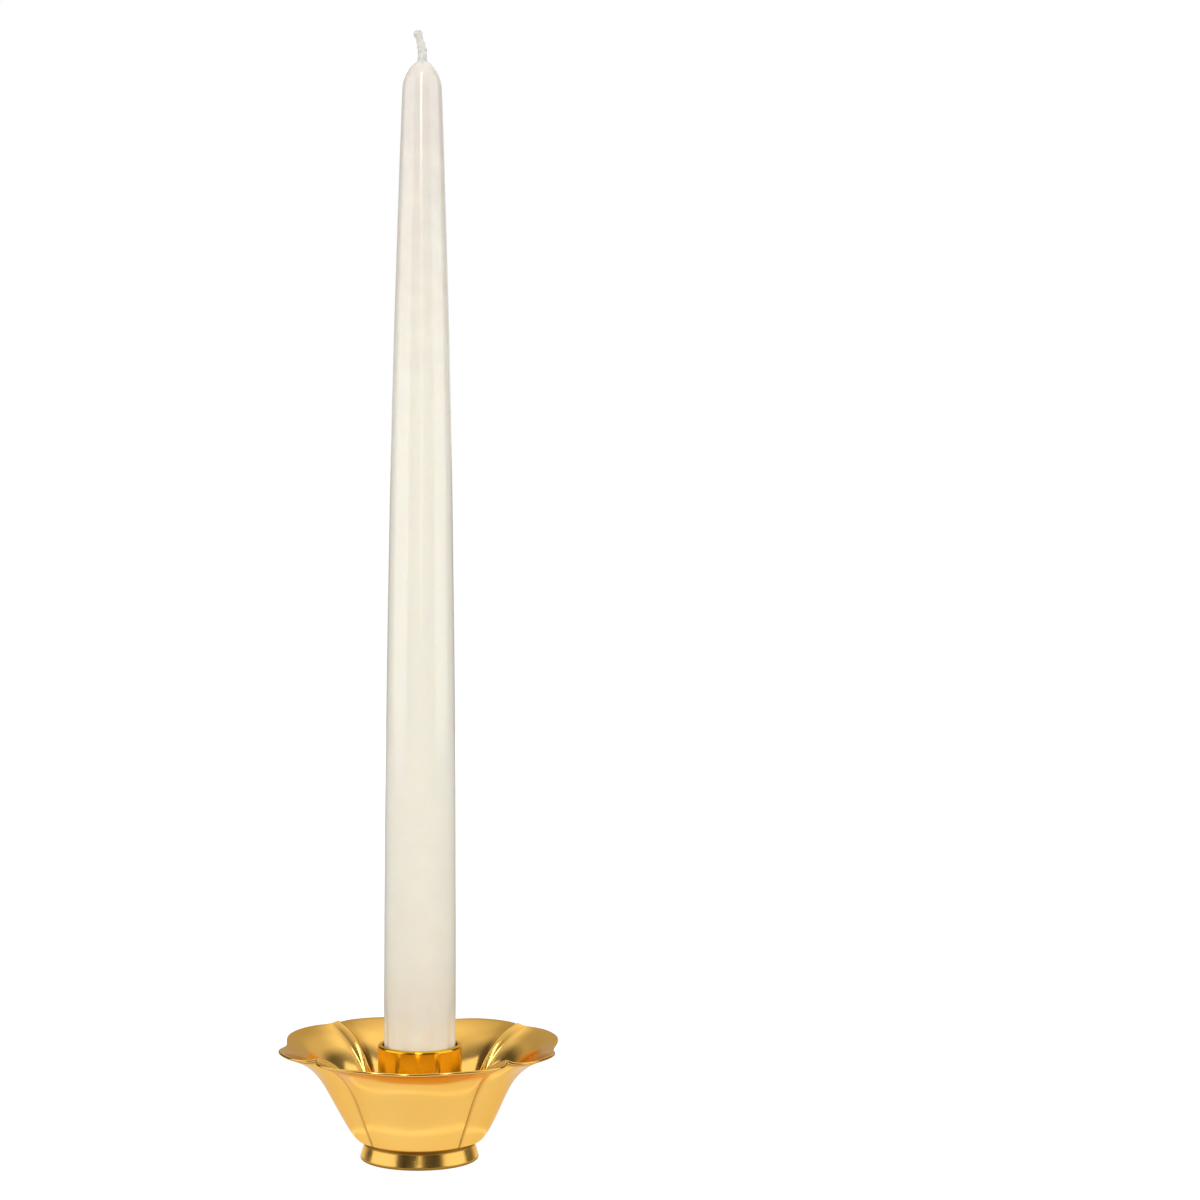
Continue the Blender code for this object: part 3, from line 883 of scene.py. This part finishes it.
SHOULDER_HEIGHT = 332.0 * MM
SHOULDER_RADIUS = 6.1 * MM
TAPER_POWER = 2.4
DOME_POWER = 1.6
END_CHAMFER = 1.0 * MM
FLUTES = 8
FLUTE_DEPTH = 0.55 * MM
FLUTE_TOP = 52.0 * MM
FLUTE_FULL = 38.0 * MM
WICK_RADIUS = 1.4 * MM
DOME_TOP_RADIUS = 1.7 * MM
WAX_CLIMB = 1.0 * MM  # how far wax stands up round the wick
CLIMB_TAPER = 0.1 * MM  # half way up it stands this much outside the wick, and ends as much inside
BORE_RADIUS = WICK_RADIUS - 0.2 * MM  # narrower than the plait and wider than the wick's core
SMOOTH_RADIUS = 2 * DOME_TOP_RADIUS  # inside this radius the skin has no swells
SWELL_DEPTH = 0.07 * MM
SWELL_LENGTH = 45 * MM
SWELL_ROUND = 0.4  # the higher, the more of them there are round the candle
LUMP_DEPTH = 0.03 * MM
LUMP_LENGTH = 14 * MM
LUMP_ROUND = 1.3
LUMP_SHIFT = 7.0
CANDLE_ROWS = 200
DOME_ROWS = 24


def taper_radius(height):
    along = (height - CANDLE_BOTTOM) / (SHOULDER_HEIGHT - CANDLE_BOTTOM)
    return CANDLE_RADIUS - (CANDLE_RADIUS - SHOULDER_RADIUS) * along ** TAPER_POWER


def flute_cut(height, angle):
    """How deep the flutes of the self-fitting end are cut, fading out up the candle."""
    fade = (FLUTE_TOP - height) / (FLUTE_TOP - FLUTE_FULL)
    strength = min(1.0, max(0.0, fade))
    strength = strength * strength * (3 - 2 * strength)
    groove = (0.5 - 0.5 * math.cos(FLUTES * angle)) ** 2
    return FLUTE_DEPTH * strength * groove


def skin_noise(angle, around, along):
    return noise.noise(Vector((math.cos(angle) * around, math.sin(angle) * around, along)))


def dipping_waves(angle, height):
    """The uneven skin that dipping leaves: long swells up the candle and smaller lumps round it."""
    swell = skin_noise(angle, SWELL_ROUND, height / SWELL_LENGTH)
    lumps = skin_noise(angle, LUMP_ROUND, height / LUMP_LENGTH + LUMP_SHIFT)
    return SWELL_DEPTH * swell + LUMP_DEPTH * lumps


def candle_profile():
    """Radii and heights up the outside: chamfered end, taper, dome, and the wax round the wick."""
    profile = [(CANDLE_RADIUS - END_CHAMFER, CANDLE_BOTTOM)]
    start = CANDLE_BOTTOM + END_CHAMFER
    for row in range(CANDLE_ROWS + 1):
        height = start + (SHOULDER_HEIGHT - start) * row / CANDLE_ROWS
        profile.append((taper_radius(height), height))
    for row in range(1, DOME_ROWS + 1):
        turn = math.pi / 2 * row / DOME_ROWS
        radius = DOME_TOP_RADIUS + (SHOULDER_RADIUS - DOME_TOP_RADIUS) * math.cos(turn) ** DOME_POWER
        profile.append((radius, SHOULDER_HEIGHT + (CANDLE_TOP - SHOULDER_HEIGHT) * math.sin(turn)))
    profile.append((WICK_RADIUS + CLIMB_TAPER, CANDLE_TOP + 0.5 * WAX_CLIMB))
    profile.append((WICK_RADIUS - CLIMB_TAPER, CANDLE_TOP + WAX_CLIMB))
    return profile


def make_candle(wax):
    """The outside from the bottom up to the wick, and back down the hole that the wick runs in."""
    rows = []
    for radius, height in candle_profile():
        row = []
        for angle in round_angles(ROUND_STEPS):
            reach = radius - flute_cut(height, angle)
            if radius > SMOOTH_RADIUS:
                reach += dipping_waves(angle, height)
            row.append((reach * math.cos(angle), reach * math.sin(angle), height))
        rows.append(row)
    rows += turned_rows([(BORE_RADIUS, CANDLE_TOP), (BORE_RADIUS, CANDLE_BOTTOM)])
    return piece_from_rows("candle", rows, wax, sharp_degrees=50.0)


# ---------------------------------------------------------------- wick

BEND_START = 344.4 * MM
WICK_LEAN = 1.7 * MM
BEND_POWER = 1.15
PLAIT_BOTTOM = CANDLE_TOP - 2.0 * MM
CORE_RADIUS = 1.1 * MM
CORE_TOP = WICK_TOP - 0.6 * MM
CORE_STEPS = 30
STRANDS = 3
STRAND_RADIUS = 0.84 * MM
STRAND_SWING = (0.58 * MM, 0.24 * MM)  # from side to side, and from back to front
STRAND_TOP = WICK_TOP - 0.25 * MM
STRAND_STEPS = 60
PLAIT_PITCH = 5.2 * MM
# Shares of the visible wick's width, and places along it from 0 to 1
NECK_DEPTH = 0.22
NECK_PLACE = 0.78
NECK_LENGTH = 0.12
FRAY_START = 0.85
FRAY = 0.25
POINT_START = 0.95
POINT_THINNING = 0.25

FIBRES = 18
SHORTEST_FIBRE = 0.5 * MM
LONGEST_FIBRE = 1.1 * MM
FIBRE_STAND = 0.5 * MM
FIBRE_RISE = 0.6  # this and the next are shares of a fibre's length
FIBRE_SPREAD = 0.5
FIBRE_ROOT = WICK_TOP - 1.2 * MM
FIBRE_RING = 0.6 * MM
FIBRE_BOW = 0.1 * MM
FIBRE_RADII = (0.09 * MM, 0.08 * MM, 0.04 * MM)


def wick_centre(height):
    """The wick stands straight out of the wax and then leans over towards -X."""
    along = max(0.0, (height - BEND_START) / (WICK_TOP - BEND_START))
    return Vector((-WICK_LEAN * along ** BEND_POWER, 0.0, height))


def wick_neck(along):
    """The share of its width that the wick keeps, narrowest below its loose end."""
    return 1.0 - NECK_DEPTH * math.exp(-(((along - NECK_PLACE) / NECK_LENGTH) ** 2))


def past(along, start):
    """From 0 up to the start to 1 at the end."""
    return max(0.0, along - start) / (1.0 - start)


def core_path():
    """The stiff middle of the wick, which fills the plait."""
    path = [Vector((0.0, 0.0, WICK_BOTTOM))]
    radii = [CORE_RADIUS]
    for step in range(CORE_STEPS + 1):
        along = step / CORE_STEPS
        path.append(wick_centre(PLAIT_BOTTOM + (CORE_TOP - PLAIT_BOTTOM) * along))
        radii.append(CORE_RADIUS * wick_neck(along))
    return path, radii


def strand_path(strand):
    """One strand of a flat plait: it weaves from side to side, passing over and under the others."""
    phase = math.tau * strand / STRANDS
    path = []
    radii = []
    for step in range(STRAND_STEPS + 1):
        along = step / STRAND_STEPS
        height = PLAIT_BOTTOM + (STRAND_TOP - PLAIT_BOTTOM) * along
        weave = math.tau * height / PLAIT_PITCH + phase
        spread = 1.0 + FRAY * past(along, FRAY_START)
        neck = wick_neck(along)
        offset = Vector((STRAND_SWING[0] * math.sin(weave), STRAND_SWING[1] * math.sin(2 * weave), 0.0))
        path.append(wick_centre(height) + offset * spread * neck)
        radii.append(STRAND_RADIUS * neck * (1.0 - POINT_THINNING * past(along, POINT_START)))
    return path, radii


def fibre_path(turn, length):
    """A loose fibre that bows out of the wick's cut end."""
    out = Vector((math.cos(turn), math.sin(turn), 0.0))
    root = wick_centre(FIBRE_ROOT) + out * FIBRE_RING
    tip = root + out * (FIBRE_SPREAD * length)
    tip.z += FIBRE_STAND + FIBRE_RISE * length
    tip.z = min(tip.z, WICK_TOP)
    return [root, (root + tip) / 2 + out * FIBRE_BOW, tip]


def tube_rows(path, radii, sides):
    """Rings of points square to a path that runs mostly upwards."""
    rows = []
    for index, point in enumerate(path):
        ahead = path[min(index + 1, len(path) - 1)]
        behind = path[max(index - 1, 0)]
        along = (ahead - behind).normalized()
        side = Vector((0.0, 1.0, 0.0)).cross(along).normalized()
        front = along.cross(side)
        rows.append([point + (side * math.cos(turn) + front * math.sin(turn)) * radii[index]
                     for turn in round_angles(sides)])
    return rows


def add_tube(shape, path, radii, sides):
    rings = [[shape.verts.new(point) for point in row] for row in tube_rows(path, radii, sides)]
    for lower, upper in zip(rings, rings[1:]):
        for step in range(sides):
            after = (step + 1) % sides
            shape.faces.new((lower[step], lower[after], upper[after], upper[step]))
    shape.faces.new(list(reversed(rings[0])))
    shape.faces.new(rings[-1])


def make_wick(cotton):
    """A core through the candle, a plait round it where it shows, and loose fibres at its cut end."""
    shape = bmesh.new()
    add_tube(shape, *core_path(), sides=24)
    for strand in range(STRANDS):
        add_tube(shape, *strand_path(strand), sides=12)
    for turn in round_angles(FIBRES):
        length = SHORTEST_FIBRE + (LONGEST_FIBRE - SHORTEST_FIBRE) * noise.random()
        add_tube(shape, fibre_path(turn, length), FIBRE_RADII, sides=6)
    mesh = bpy.data.meshes.new("wick_plait")
    shape.to_mesh(mesh)
    shape.free()
    mesh.shade_smooth()
    mesh.set_sharp_from_angle(angle=math.radians(60.0))
    mesh.materials.append(cotton)
    return add_piece("wick_plait", mesh)


# ---------------------------------------------------------------- the whole object

SEED = 11


def main():
    noise.seed_set(SEED)
    make_camera()
    make_studio()
    buffed_brass = brass_material("buffed_brass", SHEET_BRASS, BUFFED_ROUGHNESS, 0.03 * MM)
    spun_brass = brass_material("spun_brass", SHEET_BRASS, SPUN_ROUGHNESS, 0.02 * MM)
    turned_brass = brass_material("turned_brass", BAR_BRASS, TURNED_ROUGHNESS, 0.02 * MM)
    steel = steel_material()
    stand_for(make_bowl(buffed_brass), "petal_bowl", "holder")
    stand_for(make_foot(spun_brass), "foot_ring", "holder")
    stand_for(make_socket(turned_brass), "candle_socket", "holder")
    stand_for(make_screw(steel), "fixing_screw", "holder")
    stand_for(make_washer(steel), "screw_washer", "holder")
    stand_for(make_candle(wax_material()), "candle_wax", "candle")
    stand_for(make_wick(cotton_material()), "wick", "candle")


main()
